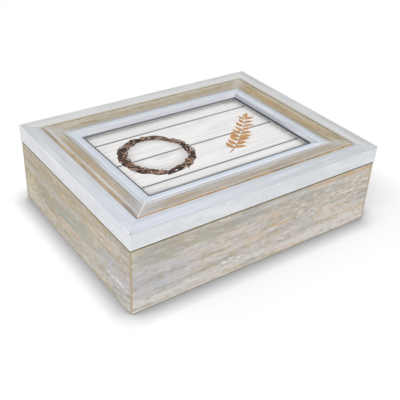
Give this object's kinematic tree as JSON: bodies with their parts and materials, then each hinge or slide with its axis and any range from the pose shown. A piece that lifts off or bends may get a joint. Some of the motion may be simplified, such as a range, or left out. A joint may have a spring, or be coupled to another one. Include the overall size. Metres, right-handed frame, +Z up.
{
  "type": "photo storage box",
  "caption": "Whitewashed wooden box with a hinged lid that is a glazed picture frame; it holds photos or papers.",
  "frame": {"origin": "middle of the underside, on the surface that the box stands on", "axes": "+X along the front to its right-hand end, +Y to the hinged back, +Z up"},
  "size_m": [0.222, 0.1761, 0.067],
  "materials": {
    "washed_wood": "whitewashed softwood, brushed, matt",
    "white_paint": "white paint on wood, matt",
    "washed_moulding": "whitewashed softwood, worn along the edges",
    "pale_paint": "pale bluish white paint on wood, satin",
    "raw_board": "bare brown fibreboard",
    "printed_card": "satin printed card",
    "glass": "clear picture glass",
    "brass": "brass plated, slightly dull",
    "steel": "bright steel",
    "zinc": "zinc plated"
  },
  "bodies": {
    "box": {"front_panel": "washed_wood", "right_panel": "washed_wood", "back_panel": "washed_wood", "left_panel": "washed_wood", "bottom_panel": "raw_board", "bottom_brads": "steel", "body_leaf_left": "brass", "body_leaf_right": "brass", "hinge_pin_left": "brass", "hinge_pin_right": "brass", "body_leaf_screws": "brass"},
    "lid": {"lid_front_rail": "white_paint", "lid_right_rail": "white_paint", "lid_back_rail": "white_paint", "lid_left_rail": "white_paint", "moulding_front": "washed_moulding", "moulding_right": "washed_moulding", "moulding_back": "washed_moulding", "moulding_left": "washed_moulding", "sight_front": "pale_paint", "sight_right": "pale_paint", "sight_back": "pale_paint", "sight_left": "pale_paint", "glass_pane": "glass", "photo_insert": "printed_card", "backing_board": "raw_board", "lid_leaf_left": "brass", "lid_leaf_right": "brass", "lid_leaf_screws": "brass", "mitre_nails": "steel", "turn_button_screws": "steel"},
    "button_1": {"turn_button_1": "zinc"},
    "button_2": {"turn_button_2": "zinc"},
    "button_3": {"turn_button_3": "zinc"},
    "button_4": {"turn_button_4": "zinc"}
  },
  "joints": [
    {"name": "lid_hinge", "type": "hinge", "parent": "box", "child": "lid", "pos_m": [0, 0.0881, 0.0535], "axis": [-1, 0, 0], "range_deg": [0, 105]},
    {"name": "turn_button_1_swivel", "type": "hinge", "parent": "lid", "child": "button_1", "pos_m": [-0.045, -0.0551, 0.056], "axis": [0, 0, 1], "continuous": true},
    {"name": "turn_button_2_swivel", "type": "hinge", "parent": "lid", "child": "button_2", "pos_m": [0.045, -0.0551, 0.056], "axis": [0, 0, 1], "continuous": true},
    {"name": "turn_button_3_swivel", "type": "hinge", "parent": "lid", "child": "button_3", "pos_m": [0.045, 0.0551, 0.056], "axis": [0, 0, 1], "continuous": true},
    {"name": "turn_button_4_swivel", "type": "hinge", "parent": "lid", "child": "button_4", "pos_m": [-0.045, 0.0551, 0.056], "axis": [0, 0, 1], "continuous": true}
  ]
}
